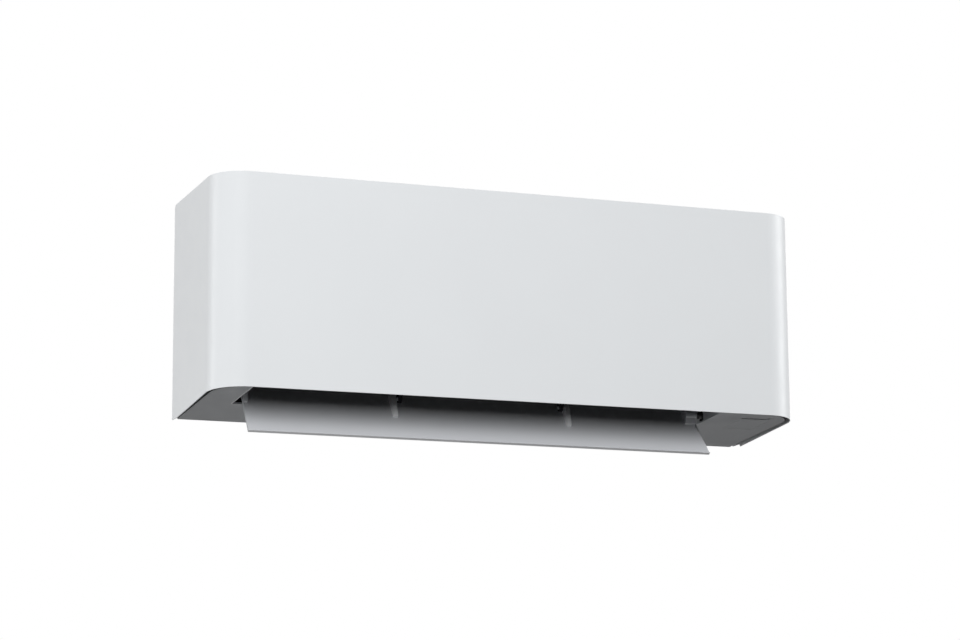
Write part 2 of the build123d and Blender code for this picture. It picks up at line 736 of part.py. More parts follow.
def vane_plane(x):
    """Plane on the rail at a vane's axis: Y runs up the duct, Z stands off its rear wall."""
    run, rise, _ = step(DUCT_REAR, DUCT_TOP)
    foot = along(DUCT_REAR, DUCT_TOP, 0.70, RAIL)
    return Plane(origin=place(x, foot), x_dir=(1, 0, 0), z_dir=(0, -rise, run))


def pin(plane, y, radius, low, high):
    """Six-sided moulded pin square to the rail."""
    return extrude(plane * Pos(0, y, low) * RegularPolygon(radius, 6), high - low)


def pin_hole(plane, y, radius, low, high):
    """Eight-sided hole in which such a pin turns freely."""
    sides = RegularPolygon(radius + RUNNING, 8, major_radius=False)
    return extrude(plane * Pos(0, y, low) * sides, high - low)


def vane(x):
    """Upright vane with its foot, pivot pin and link pin."""
    plane = vane_plane(x)
    half = VANE_LENGTH / 2
    corners = [(-half, 2.5), (half, 2.5), (half, VANE_HEIGHT - 12.0), (half - 8.0, VANE_HEIGHT),
               (-half, VANE_HEIGHT)]
    outline = make_face(Polyline(*corners, close=True))
    local = Plane(origin=(-VANE_THICKNESS / 2, 0, 0), x_dir=(0, 1, 0), z_dir=(1, 0, 0))
    blade = plane.location * extrude(local * outline, VANE_THICKNESS)
    blade += plane.location * (Pos(0, 0, 1.6) * Box(7.0, 7.0, 2.6))
    blade += pin(plane, 0, VANE_PIN, 0.3 - RAIL, 0.4)
    blade += plane.location * (Pos(0, -CRANK, VANE_HEIGHT - 2.5) * Box(4.0, 4.0, 5.0))
    blade += pin(plane, -CRANK, LINK_PIN, VANE_HEIGHT - 0.1, VANE_HEIGHT + 3.4)
    return blade


def group_places(first):
    """X places of the vanes of a group."""
    return [first + VANE_PITCH * n for n in range(VANES_PER_GROUP)]


def vane_rail(first):
    """Strip on the duct's rear wall, with the holes of the vanes' pivots."""
    places = group_places(first)
    plane = vane_plane((places[0] + places[-1]) / 2)
    length = places[-1] - places[0] + 24.0
    rail = plane.location * (Pos(0, 0, -RAIL / 2) * Box(length, 14.0, RAIL))
    for x in places:
        rail -= pin_hole(vane_plane(x), 0, VANE_PIN, -RAIL - 1.0, 1.0)
    return rail


def link_bar(first):
    """Bar that keeps the vanes of a group together."""
    places = group_places(first)
    plane = vane_plane((places[0] + places[-1]) / 2)
    length = places[-1] - places[0] + 12.0
    low, high = VANE_HEIGHT + 0.4, VANE_HEIGHT + 2.4
    bar = plane.location * (Pos(0, -CRANK, (low + high) / 2) * Box(length, 7.0, high - low))
    for x in places:
        bar -= pin_hole(vane_plane(x), -CRANK, LINK_PIN, low - 1.0, high + 1.0)
    return bar


# --- filters ---


def filter_outline(inner, thick):
    """Side-view face of a filter: up in front of the coil, round, and back under the grille."""
    bend_radius = 52.0
    near, top = FILTER_FRONT + inner, FILTER_TOP - inner
    far = 190.0
    low = FILTER_LOW
    radius = bend_radius - inner
    centre = (near + radius, top - radius)
    slant = math.radians(135.0)
    small = radius - thick

    def on(r, angle):
        return side((centre[0] + r * math.cos(angle), centre[1] + r * math.sin(angle)))

    edges = [
        Line(side((near, low)), side((near, centre[1]))),
        ThreePointArc(on(radius, math.pi), on(radius, slant), on(radius, math.pi / 2)),
        Line(side((centre[0], top)), side((far, top))),
        Line(side((far, top)), side((far, top - thick))),
        Line(side((far, top - thick)), side((centre[0], top - thick))),
        ThreePointArc(on(small, math.pi / 2), on(small, slant), on(small, math.pi)),
        Line(side((near + thick, centre[1])), side((near + thick, low))),
        Line(side((near + thick, low)), side((near, low))),
    ]
    return make_face(edges)


def filter_frame(left, right):
    """Thin moulded frame with open windows."""
    frame = extrude(SIDE_VIEW.offset(left) * filter_outline(0.0, 1.8), right - left)
    edge, mullion = 8.0, 4.0
    columns = 3
    pitch = (right - left - 2 * edge + mullion) / columns
    for number in range(columns):
        start = left + edge + pitch * number
        stop = start + pitch - mullion
        frame -= block(start, stop, 10.0, 30.0, 112.0, 160.0)
        frame -= block(start, stop, 10.0, 30.0, 164.0, 212.0)
        frame -= block(start, stop, 76.0, 182.0, 260.0, 280.0)
    return frame


def filter_mesh(left, right):
    """Fine net under a filter's frame."""
    return extrude(SIDE_VIEW.offset(left + 3.0) * filter_outline(1.8, 0.6), right - left - 6.0)


# --- electrics ---


def control_box():
    """Open-backed case of the electrics, front face closed by its lid."""
    wall = 2.0
    box = block(BOX_LEFT, BOX_RIGHT, 20.0, 76.0, BOX_LOW, BOX_HIGH)
    box -= block(BOX_LEFT + wall, BOX_RIGHT - wall, 19.0, 74.0, BOX_LOW + wall, BOX_HIGH - wall)
    for x in (344.0, 384.0):
        for height in (75.0, 245.0):
            box += block(x - 2.5, x + 2.5, 67.6, 74.2, height - 2.5, height + 2.5)
    near, far, top = 28.0, 74.0, BOX_LOW + 0.5
    foot = [(near, tray_top(near)), (far, tray_top(far)), (far, top), (near, top)]
    for x in (BOX_LEFT, BOX_RIGHT - wall):
        box += prism(foot, x, x + wall)
    return box


def button_bar(half, near, far):
    """Square bar on the manual button's axis."""
    low, high = BUTTON_HEIGHT - half, BUTTON_HEIGHT + half
    return block(BUTTON_X - half, BUTTON_X + half, near, far, low, high)


def control_lid():
    """Front lid of the control box, with the opening of the manual button."""
    lid = block(BOX_LEFT - 1.0, BOX_RIGHT + 1.0, 18.0, 20.0, BOX_LOW - 1.0, BOX_HIGH + 1.0)
    return lid - button_bar(3.8, 10.0, 30.0)


def control_board():
    """Main board with its tall parts."""
    board = block(340.0, 388.0, 66.0, 67.6, 70.0, 250.0)
    board += block(348.0, 372.0, 46.0, 66.0, 80.0, 104.0)
    board += block(346.0, 382.0, 48.0, 66.0, 130.0, 160.0)
    board += block(350.0, 362.0, 52.0, 66.0, 180.0, 210.0)
    return board


def terminal_block():
    """Screw terminals for the supply, on the side of the control box."""
    base = block(394.0, 404.0, 40.0, 62.0, 80.0, 150.0)
    for number in range(4):
        height = 88.0 + 17.0 * number
        base -= block(399.0, 405.0, 44.0, 58.0, height - 5.0, height + 5.0)
    return base


def display_board():
    """Receiver and lamp board in its holder, behind the cover."""
    holder = block(335.0, 393.0, 12.0, 18.0, 110.0, 140.0)
    return holder - block(340.0, 388.0, 11.0, 15.0, 114.0, 136.0)


def manual_button():
    """Push button that runs the unit without the remote control."""
    button = button_bar(3.5, 14.5, 23.5)
    return button + button_bar(5.5, 20.3, 21.5)


def room_sensor():
    """Bead sensor in its clip on the front pack."""
    return block(270.0, 274.0, 22.5, 28.4, 130.0, 150.0)


def lid_screws():
    """Hexagon-headed screws of the control box's lid."""
    heads = [(340.0, 254.0), (388.0, 254.0), (388.0, 68.0)]
    across = RegularPolygon(3.8, 6)
    screws = [
        extrude(Plane(origin=place(x, (18.0, height)), z_dir=(0, -1, 0)) * across, 2.0)
        for x, height in heads
    ]
    return Compound(children=screws)


def build():
    """Every piece, by the name of its node."""
    pieces = {
        "front_cover": front_cover(),
        "bottom_panel": bottom_panel(),
        "service_hatch": service_hatch(),
        "rear_casing": rear_casing(),
        "rear_air_guide": rear_air_guide(),
        "outlet_housing": outlet_housing(),
        "flap_bracket_left": flap_bracket(MID_ARMS[0], 1),
        "flap_bracket_right": flap_bracket(MID_ARMS[1], -1),
        "top_grille": top_grille(),
        "wall_plate": wall_plate(),
        "gas_pipe": pipe(GAS_RADIUS, GAS_LINE, GAS_END, 330.0, coil_inlets()[0]),
        "liquid_pipe": pipe(LIQUID_RADIUS, LIQUID_LINE, LIQUID_END, 346.0, coil_inlets()[1]),
        "gas_union": flare_union(GAS_THREAD, GAS_LINE, GAS_END),
        "liquid_union": flare_union(LIQUID_THREAD, LIQUID_LINE, LIQUID_END),
        "pipe_clamp": pipe_clamp(),
        "coil_end_left": coil_end_plate(COIL_LEFT - END_SHEET),
        "coil_end_right": coil_end_plate(COIL_RIGHT),
        "coil_bends_left": coil_bends(COIL_LEFT - END_SHEET, -1),
        "coil_bends_right": coil_bends(COIL_RIGHT + END_SHEET, 1),
        "fan_rotor": fan_rotor(),
        "fan_shaft": fan_shaft(),
        "motor_shaft": motor_shaft(),
        "fan_bearing": fan_bearing(),
        "bearing_bracket": bearing_bracket(),
        "motor_bracket": motor_bracket(),
        "fan_motor": fan_motor(),
        "motor_cap": motor_cap(),
        "flap": flap(),
        "flap_drive": flap_drive(),
        "flap_motor": flap_motor(),
        "control_box": control_box(),
        "control_lid": control_lid(),
        "control_board": control_board(),
        "terminal_block": terminal_block(),
        "display_board": display_board(),
        "manual_button": manual_button(),
        "room_sensor": room_sensor(),
        "lid_screws": lid_screws(),
    }
    for name, (start, end, _) in COIL_PACKS.items():
        pieces[name] = coil_pack(start, end)
    for group, span in FILTER_SPANS.items():
        pieces[f"filter_frame_{group}"] = filter_frame(*span)
        pieces[f"filter_mesh_{group}"] = filter_mesh(*span)
    pieces["vane_rails"] = Compound(children=[vane_rail(first) for first in FIRST_VANES.values()])
    for group, first in FIRST_VANES.items():
        pieces[f"link_bar_{group}"] = link_bar(first)
        for number, x in enumerate(group_places(first), start=1):
            pieces[f"vane_{group}_{number}"] = vane(x)
    return pieces


os.makedirs("parts", exist_ok=True)
for node, shape in build().items():
    export_step(shape, f"parts/{node}.step")
    print(node)
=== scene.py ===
"""Looks of a wall-hung indoor unit of a split air conditioner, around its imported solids.

Metres, in the frame of the part: +X is right as seen from the room, -Y is toward the room,
+Z is up, and the wall is the plane y = 0. The pieces are drawn in millimetres. Side views use
(depth, height), as the part's own source does: depth behind the front face, and height above
the cover's lower edge.
"""

import math

import bmesh
import bpy
from mathutils import Matrix, Vector


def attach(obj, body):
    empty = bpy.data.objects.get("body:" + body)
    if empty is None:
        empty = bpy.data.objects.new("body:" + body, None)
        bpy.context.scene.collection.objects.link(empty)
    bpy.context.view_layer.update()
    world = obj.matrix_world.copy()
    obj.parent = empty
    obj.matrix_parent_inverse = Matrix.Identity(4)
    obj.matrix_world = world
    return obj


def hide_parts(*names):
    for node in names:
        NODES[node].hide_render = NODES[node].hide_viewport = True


MM = 0.001

# Cover and underside, as the solids have them
WIDTH, DEPTH, HEIGHT = 840.0, 224.0, 286.0
CORNER_RADIUS = 47.0
REAR_DROP = 12.5  # the underside falls this much on its way to the wall
TRAY_LIFT = 0.8  # the tray's lower face above the plane of the underside
SIDE_EDGE = [(-5.0, 0.4), (197.0, -14.0), (229.0, -12.8)]  # lower edge of the side walls
KNOCKOUT = (410.0, 197.0, -10.5)  # left, near and top of the notch in the right wall
LUGS = (-372.0, 372.0)  # middles of the cover's hinges

# Outlet and deflector
OUTLET_LEFT, OUTLET_RIGHT = -367.0, 301.0
FLAP_LEFT, FLAP_RIGHT = -364.0, 298.0
FLAP_EDGES = (5.8, 109.0)  # depths of the shut deflector's free and rear edge
FLAP_LIFT = 0.2  # the shut deflector above the tray's lower face
FLAP_OPEN = 58.0  # degrees from shut to the pose that is written
HINGE = (72.8, 6.2)
MID_ARMS = (-153.5, 97.0)
ARM_WIDTH = 6.6

# Fan and its motor
FAN_AXIS = (125.0, 134.0)
FAN_RADIUS = 46.0
FAN_LEFT, FAN_RIGHT = -362.0, 296.0
FAN_DISC = 2.0
MOTOR_RADIUS = 40.0

# Heat exchanger
COIL_LEFT, COIL_RIGHT = -364.0, 298.0
COIL_THICKNESS = 24.0
COIL_PACKS = {  # start, end and pairs of tubes
    "coil_front": ((37.3, 85.5), (46.0, 196.0), 4),
    "coil_upper": ((50.4, 206.5), (108.0, 256.0), 3),
    "coil_rear": ((126.5, 255.5), (196.0, 165.5), 4),
}
ROW_PITCH = 12.0
END_SHEET = 1.2

FILTER_SPANS = [(-366.0, -36.0), (-34.0, 296.0)]
BOARD_FACE = 66.0  # depth of the main board

# Sizes that only the looks have
TUBE_RADIUS = 3.6
EDGE_DROP = 0.7  # the cover's lower edge hangs this much lower in front
EDGE_THINNING = 0.55  # share of the cover's wall that is gone at its lower edge
FREE_END_INSET = 1.2  # how far the deflector's right end is set in at its free edge
CAPACITORS = [  # x, height, radius and depth of the top
    (345.0, 118.0, 4.5, 50.0), (355.0, 118.0, 4.5, 50.0), (376.0, 190.0, 6.0, 44.0),
    (376.0, 212.0, 6.0, 44.0), (345.0, 222.0, 3.0, 56.0), (345.0, 232.0, 3.0, 56.0),
]
CHIPS = [  # left, right, low, high and depth of the top
    (366.0, 382.0, 112.0, 122.0, 63.0), (364.0, 384.0, 168.0, 178.0, 63.5),
    (352.0, 362.0, 164.0, 176.0, 63.0), (352.0, 384.0, 230.0, 240.0, 56.0),
    (342.0, 348.0, 186.0, 204.0, 57.0),
]

# Rounding and shading of the pieces, in degrees
BEVELLED_ANGLE = 32.0
SHARP_ANGLE = 35.0
ROUND_ANGLE = 50.0  # for tubes and beads of few sides

NOISE_LOW, NOISE_HIGH = 0.3, 0.7  # most of a noise lies between these

# The photograph's viewpoint, fitted to the cover's outline
VIEW_ANGLES = (20.45, 11.08, -0.37)  # azimuth, elevation and roll in degrees
VIEW_PLACE = (-1.3713, -3.7523, -0.7738)
VIEW_LENS, VIEW_SENSOR = 107.55, 36.0

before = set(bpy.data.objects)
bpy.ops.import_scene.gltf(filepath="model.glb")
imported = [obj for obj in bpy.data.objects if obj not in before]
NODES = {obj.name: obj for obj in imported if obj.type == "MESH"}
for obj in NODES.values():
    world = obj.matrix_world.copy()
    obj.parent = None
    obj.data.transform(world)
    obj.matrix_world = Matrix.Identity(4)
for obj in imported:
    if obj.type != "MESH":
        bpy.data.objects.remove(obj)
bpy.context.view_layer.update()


# --- geometry helpers ---


def at(x, depth, height):
    """A point given in millimetres, in the frame of the part."""
    return Vector((x, depth - DEPTH, height - HEIGHT / 2)) * MM


def along(start, end, share, off=0.0):
    """The side-view point at a share of the way, moved off to the left of that way."""
    run, rise = end[0] - start[0], end[1] - start[1]
    length = math.hypot(run, rise)
    return (
        start[0] + run * share - rise / length * off,
        start[1] + rise * share + run / length * off,
    )


def under(depth):
    """Height of the underside tray's lower face at a depth."""
    return TRAY_LIFT - REAR_DROP * depth / DEPTH


def above_tray(depth, lift):
    """The side-view point that is lifted from the tray's lower face at a depth."""
    return (depth, under(depth) + lift)


def circle(radius, sides):
    """Corners of a many-sided circle about the origin."""
    turns = [math.tau * n / sides for n in range(sides)]
    return [(radius * math.cos(turn), radius * math.sin(turn)) for turn in turns]


def there_and_back(steps):
    """Order of the points round a strip: (side, step) along side 0, then back along side 1."""
    return [(0, n) for n in range(steps + 1)] + [(1, n) for n in range(steps, -1, -1)]


class Mesh:
    """Collects vertices in millimetres, as (x, depth, height), and faces."""

    def __init__(self):
        self.points = []
        self.faces = []

    def loft(self, rings, closed=True):
        """Join rings of equal length, with a cap at each end."""
        base, count = len(self.points), len(rings[0])
        for ring in rings:
            self.points += ring
        for n in range(len(rings) - 1):
            low, high = base + n * count, base + (n + 1) * count
            for i in range(count):
                j = (i + 1) % count
                self.faces.append((low + i, low + j, high + j, high + i))
        if closed:
            last = base + (len(rings) - 1) * count
            self.faces.append(tuple(range(base + count - 1, base - 1, -1)))
            self.faces.append(tuple(range(last, last + count)))

    def prism(self, outline, left, right):
        """Straight extrusion along X of a side outline."""
        self.loft([[(x, *point) for point in outline] for x in (left, right)])

    def bar(self, left, right, near, far, low, high):
        """Box."""
        self.prism([(near, low), (far, low), (far, high), (near, high)], left, right)

    def rod(self, centre, radius, left, right, sides, chamfer=0.0):
        """Cylinder along X, with chamfered ends if wanted."""
        steps = [(left, radius), (right, radius)]
        if chamfer > 0.0:
            steps = [
                (left, radius - chamfer), (left + chamfer, radius),
                (right - chamfer, radius), (right, radius - chamfer),
            ]
        self.loft([
            [(x, centre[0] + u, centre[1] + h) for u, h in circle(r, sides)] for x, r in steps
        ])

    def can(self, x, height, near, far, radius):
        """Cylinder along the depth, with a rounded near end."""
        sides, dome = 24, 1.0
        shoulder, crown = radius * 0.88, radius * 0.6
        steps = [
            (far, radius), (near + dome, radius), (near + dome * 0.3, shoulder), (near, crown),
        ]
        self.loft([
            [(x + u, depth, height + h) for u, h in circle(r, sides)] for depth, r in steps
        ])


def piece(name, mesh, body, material, replaces=(), bevel=0.0, smooth=SHARP_ANGLE):
    """Make an object of a Mesh, riding on a body."""
    data = bpy.data.meshes.new(name)
    data.from_pydata([at(*p) for p in mesh.points], [], mesh.faces)
    return finish_piece(name, data, body, material, replaces, bevel, smooth)


def finish_piece(name, data, body, material, replaces, bevel, smooth):
    """Clean a mesh, round its edges and hand it to the frame."""
    work = bmesh.new()
    work.from_mesh(data)
    bmesh.ops.recalc_face_normals(work, faces=work.faces)
    if bevel > 0.0:
        edges = [
            edge for edge in work.edges
            if edge.is_manifold and edge.calc_face_angle(0.0) > math.radians(BEVELLED_ANGLE)
        ]
        bmesh.ops.bevel(
            work, geom=edges, offset=bevel * MM, segments=2, profile=0.6, affect="EDGES",
            clamp_overlap=True,
        )
    work.to_mesh(data)
    work.free()
    data.validate()
    data.polygons.foreach_set("use_smooth", [True] * len(data.polygons))
    data.set_sharp_from_angle(angle=math.radians(smooth))
    data.materials.append(material)
    thing = bpy.data.objects.new(name, data)
    bpy.context.scene.collection.objects.link(thing)
    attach(thing, body)
    if replaces:
        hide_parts(*replaces)
    return thing


def rounded_copy(node, name, body, material, bevel, trim=None):
    """A copy of a node's own shape with small rounded edges, in place of the node."""
    merge_distance, flat_angle, sharp_angle = 1e-6, 0.6, 30.0
    work = bmesh.new()
    work.from_mesh(NODES[node].data)
    bmesh.ops.remove_doubles(work, verts=work.verts, dist=merge_distance)
    bmesh.ops.dissolve_limit(
        work, angle_limit=math.radians(flat_angle), verts=work.verts, edges=work.edges
    )
    if trim:
        trim(work.verts)
    data = bpy.data.meshes.new(name)
    work.to_mesh(data)
    work.free()
    made = finish_piece(name, data, body, material, (node,), bevel, sharp_angle)
    weighted = made.modifiers.new("flat", "WEIGHTED_NORMAL")
    weighted.keep_sharp = True
    return made


# --- materials ---


def new_material(name, colour, roughness, metallic=0.0):
    """Material with a principled shader, and its node tree."""
    material = bpy.data.materials.new(name)
    material.use_nodes = True
    shader = material.node_tree.nodes["Principled BSDF"]
    shader.inputs["Base Color"].default_value = (*colour, 1.0)
    shader.inputs["Roughness"].default_value = roughness
    shader.inputs["Metallic"].default_value = metallic
    return material, material.node_tree, shader


def own_coordinates(tree):
    """The object's own coordinates, in metres."""
    return tree.nodes.new("ShaderNodeTexCoord").outputs["Object"]


def noise(tree, scale, detail, stretch=(1.0, 1.0, 1.0)):
    """Noise in the object's own coordinates, in cycles a metre."""
    mapping = tree.nodes.new("ShaderNodeMapping")
    mapping.inputs["Scale"].default_value = stretch
    texture = tree.nodes.new("ShaderNodeTexNoise")
    texture.inputs["Scale"].default_value = scale
    texture.inputs["Detail"].default_value = detail
    tree.links.new(own_coordinates(tree), mapping.inputs["Vector"])
    tree.links.new(mapping.outputs["Vector"], texture.inputs["Vector"])
    return texture.outputs["Fac"]


def larger(tree, first, second):
    """The larger of two values."""
    node = tree.nodes.new("ShaderNodeMath")
    node.operation = "MAXIMUM"
    tree.links.new(first, node.inputs[0])
    tree.links.new(second, node.inputs[1])
    return node.outputs["Value"]


def spread(tree, source, low, high, start=NOISE_LOW, end=NOISE_HIGH):
    """Map a value from start to end onto low to high."""
    node = tree.nodes.new("ShaderNodeMapRange")
    node.inputs["From Min"].default_value = start
    node.inputs["From Max"].default_value = end
    node.inputs["To Min"].default_value = low
    node.inputs["To Max"].default_value = high
    tree.links.new(source, node.inputs["Value"])
    return node.outputs["Result"]


def tinted(colour, factor):
    """A colour made lighter or darker."""
    return tuple(min(1.0, c * factor) for c in colour)


def shade(tree, shader, source, colour, dark, light, start=NOISE_LOW, end=NOISE_HIGH):
    """Let the base colour go from a dark to a light tint while a value goes from start to end."""
    ramp = tree.nodes.new("ShaderNodeValToRGB")
    first, last = ramp.color_ramp.elements
    first.position, last.position = start, end
    first.color = (*tinted(colour, dark), 1.0)
    last.color = (*tinted(colour, light), 1.0)
    tree.links.new(source, ramp.inputs["Fac"])
    tree.links.new(ramp.outputs["Color"], shader.inputs["Base Color"])


def gloss(tree, shader, source, low, high):
    """Let the roughness follow a value."""
    tree.links.new(spread(tree, source, low, high), shader.inputs["Roughness"])


def bump(tree, shader, height, strength, distance):
    """Bump from a height value, in metres at full strength."""
    node = tree.nodes.new("ShaderNodeBump")
    node.inputs["Strength"].default_value = strength
    node.inputs["Distance"].default_value = distance
    tree.links.new(height, node.inputs["Height"])
    tree.links.new(node.outputs["Normal"], shader.inputs["Normal"])


def plastic(name, colour, roughness, grain=900.0, depth=0.00004, variation=0.025, shine=0.5):
    """Moulded plastic: spark-eroded grain, and slight drifts of shade and gloss."""
    material, tree, shader = new_material(name, colour, roughness)
    shader.inputs["Specular IOR Level"].default_value = shine
    drift = noise(tree, scale=9.0, detail=2.0)
    shade(tree, shader, drift, colour, 1.0 - variation, 1.0 + variation)
    handled = noise(tree, scale=40.0, detail=4.0)
    gloss(tree, shader, handled, roughness - 0.04, roughness + 0.05)
    bump(tree, shader, noise(tree, grain, detail=2.0), strength=0.35, distance=depth)
    return material


def metal(name, colour, roughness, stretch=(1.0, 1.0, 1.0), scale=400.0, variation=0.10):
    """Metal with a drawn or rolled grain along its long direction."""
    material, tree, shader = new_material(name, colour, roughness, metallic=1.0)
    streaks = noise(tree, scale, detail=4.0, stretch=stretch)
    shade(tree, shader, streaks, colour, 1.0 - variation, 1.0 + variation)
    handled = noise(tree, scale=60.0, detail=3.0)
    gloss(tree, shader, handled, roughness - 0.07, roughness + 0.10)
    bump(tree, shader, streaks, strength=0.25, distance=0.00003)
    return material


def galvanised(name, colour):
    """Zinc-coated sheet with its crystal pattern."""
    material, tree, shader = new_material(name, colour, roughness=0.4, metallic=1.0)
    cells = tree.nodes.new("ShaderNodeTexVoronoi")
    cells.inputs["Scale"].default_value = 180.0
    tree.links.new(own_coordinates(tree), cells.inputs["Vector"])
    level = tree.nodes.new("ShaderNodeSeparateColor")
    tree.links.new(cells.outputs["Color"], level.inputs["Color"])
    red, green = level.outputs["Red"], level.outputs["Green"]
    shade(tree, shader, red, colour, dark=0.86, light=1.12, start=0.0, end=1.0)
    gloss(tree, shader, green, low=0.34, high=0.46)
    grain = noise(tree, scale=500.0, detail=3.0)
    bump(tree, shader, grain, strength=0.15, distance=0.00003)
    return material


def net(name, colour):
    """Fine woven net of a filter, dark between its threads."""
    material, tree, shader = new_material(name, colour, roughness=0.7)
    waves = []
    for axis in ("X", "Z"):
        wave = tree.nodes.new("ShaderNodeTexWave")
        wave.bands_direction = axis
        wave.inputs["Scale"].default_value = 160.0
        tree.links.new(own_coordinates(tree), wave.inputs["Vector"])
        waves.append(wave.outputs["Fac"])
    threads = larger(tree, *waves)
    shade(tree, shader, threads, colour, dark=0.25, light=1.2, start=0.35, end=0.85)
    bump(tree, shader, threads, strength=0.6, distance=0.0002)
    return material


def circuit_board(name, colour):
    """Solder mask with fine copper runs under it."""
    material, tree, shader = new_material(name, colour, roughness=0.35)
    upright = tree.nodes.new("ShaderNodeMapping")
    upright.inputs["Rotation"].default_value = (math.radians(90.0), 0.0, 0.0)
    bricks = tree.nodes.new("ShaderNodeTexBrick")
    bricks.inputs["Scale"].default_value = 90.0
    bricks.inputs["Mortar Size"].default_value = 0.06
    for part, tint in (("Color1", 1.0), ("Color2", 1.25), ("Mortar", 2.2)):
        bricks.inputs[part].default_value = (*tinted(colour, tint), 1.0)
    tree.links.new(own_coordinates(tree), upright.inputs["Vector"])
    tree.links.new(upright.outputs["Vector"], bricks.inputs["Vector"])
    tree.links.new(bricks.outputs["Color"], shader.inputs["Base Color"])
    bump(tree, shader, bricks.outputs["Fac"], strength=0.2, distance=0.0001)
    return material


FINE = {"grain": 1500.0, "depth": 0.00002}  # grain of the mouldings that show
DRAWN = (0.1, 1.0, 1.0)  # streaks along X

COVER = plastic("cover_satin_white", (0.790, 0.812, 0.830), 0.38, variation=0.006, **FINE)
# the deflector's white plastic, darkened all over as painted shade
DEFLECTOR_PAINTED_SHADE = plastic(
    "deflector_white_painted_shade", (0.600, 0.614, 0.640), 0.42, variation=0.010, shine=0.35, **FINE
)
PANEL = plastic(
    "underside_white", (0.590, 0.604, 0.625), 0.55, depth=0.00005, variation=0.015, shine=0.3
)
# paler white as a painted highlight, on the outlet's bead and on the deflector's arms and free
# edge
PAINTED_HIGHLIGHT_WHITE = plastic("painted_highlight_white", (0.900, 0.910, 0.925), 0.30)
GRILLE = plastic("grille_white", (0.780, 0.790, 0.800), 0.50, variation=0.015)
CASING = plastic("casing_grey", (0.560, 0.570, 0.580), 0.55)
DUCT = plastic("duct_black", (0.012, 0.0125, 0.015), 0.60, shine=0.10)
VANES = plastic("vane_black", (0.018, 0.019, 0.022), 0.50, shine=0.12)
FAN = plastic("fan_dark", (0.024, 0.025, 0.028), 0.50, shine=0.15)
BOX = plastic("box_white", (0.660, 0.660, 0.640), 0.50)
FILTER = plastic("filter_frame", (0.150, 0.230, 0.320), 0.50)
NET = net("filter_net", (0.200, 0.235, 0.270))
FINS = metal("fin_aluminium", (0.620, 0.700, 0.760), 0.32, scale=300.0)
COPPER = metal("copper_tube", (0.800, 0.420, 0.270), 0.28, DRAWN)
BRASS = metal("union_brass", (0.780, 0.620, 0.330), 0.30)
PLATE = galvanised("plate_zinc", (0.640, 0.650, 0.660))
ENDS = galvanised("end_plate_zinc", (0.600, 0.610, 0.620))
STEEL = metal("ground_steel", (0.600, 0.600, 0.620), 0.25, DRAWN)
MOTOR = metal("motor_can", (0.560, 0.570, 0.590), 0.38, stretch=(0.15, 1.0, 1.0))
RUBBER = plastic("rubber_black", (0.022, 0.022, 0.023), 0.70)
DARK = plastic("moulding_black", (0.030, 0.030, 0.032), 0.45)
BOARD = circuit_board("circuit_board", (0.03, 0.16, 0.07))
SCREWS = metal("screw_zinc", (0.680, 0.680, 0.700), 0.30)
LENS = plastic("lamp_lens", (0.100, 0.110, 0.120), 0.15, grain=2000.0, depth=0.00001)

LOOKS = {
    "front_cover": COVER,
    "flap": DEFLECTOR_PAINTED_SHADE,
    "bottom_panel": PANEL,
    "service_hatch": PANEL,
    "top_grille": GRILLE,
    "rear_casing": CASING,
    "rear_air_guide": DUCT,
    "outlet_housing": DUCT,
    "flap_bracket_left": DUCT,
    "flap_bracket_right": DUCT,
    "bearing_bracket": CASING,
    "motor_bracket": CASING,
    "motor_cap": CASING,
    "pipe_clamp": CASING,
    "vane_rails": VANES,
    "coil_front": FINS,
    "coil_upper": FINS,
    "coil_rear": FINS,
    "coil_end_left": ENDS,
    "coil_end_right": ENDS,
    "coil_bends_left": COPPER,
    "coil_bends_right": COPPER,
    "gas_pipe": COPPER,
    "liquid_pipe": COPPER,
    "gas_union": BRASS,
    "liquid_union": BRASS,
    "wall_plate": PLATE,
    "fan_rotor": FAN,
    "fan_shaft": STEEL,
    "motor_shaft": STEEL,
    "fan_bearing": RUBBER,
    "fan_motor": MOTOR,
    "flap_motor": MOTOR,
    "flap_drive": DARK,
    "filter_frame_left": FILTER,
    "filter_frame_right": FILTER,
    "filter_mesh_left": NET,
    "filter_mesh_right": NET,
    "control_box": BOX,
    "control_lid": BOX,
    "display_board": BOX,
    "manual_button": BOX,
    "control_board": BOARD,
    "terminal_block": DARK,
    "room_sensor": DARK,
    "lid_screws": SCREWS,
}


def dress_nodes():
    """Give every node its material; the vanes and their link bars are those not listed."""
    for name, thing in NODES.items():
        thing.data.materials.clear()
        thing.data.materials.append(LOOKS.get(name, VANES))


# --- pieces ---


def cover_edge(x, depth):
    """Height of the lower edge of the cover's side walls."""
    left, near, top = KNOCKOUT
    if x > left and depth >= near:
        return top
    front, bend, rear = SIDE_EDGE
    start, end = (front, bend) if depth < bend[0] else (bend, rear)
    return start[1] + (end[1] - start[1]) * (depth - start[0]) / (end[0] - start[0])


def thin_edge(shell):
    """The cover's walls run out to about half their thickness at their lower edge.

    In front that edge also hangs a little lower.
    """
    band, most = 1.2, 1.5  # height of the edge's zone, and most that a point moves out
    straight = WIDTH / 2 - CORNER_RADIUS
    for vertex in shell.data.vertices:
        x, depth = vertex.co.x / MM, vertex.co.y / MM + DEPTH
        height = vertex.co.z / MM + HEIGHT / 2
        if height > cover_edge(x, depth) + band:
            continue
        across = max(abs(x) - straight, 0.0)
        ahead = max(CORNER_RADIUS - depth, 0.0)
        out = math.hypot(across, ahead)
        inside = (CORNER_RADIUS - out) * EDGE_THINNING
        if out > 0.0 and 0.0 < inside < most:
            vertex.co.x += math.copysign(across / out * inside, x) * MM
            vertex.co.y -= ahead / out * inside * MM
        vertex.co.z -= EDGE_DROP * ahead / CORNER_RADIUS * MM


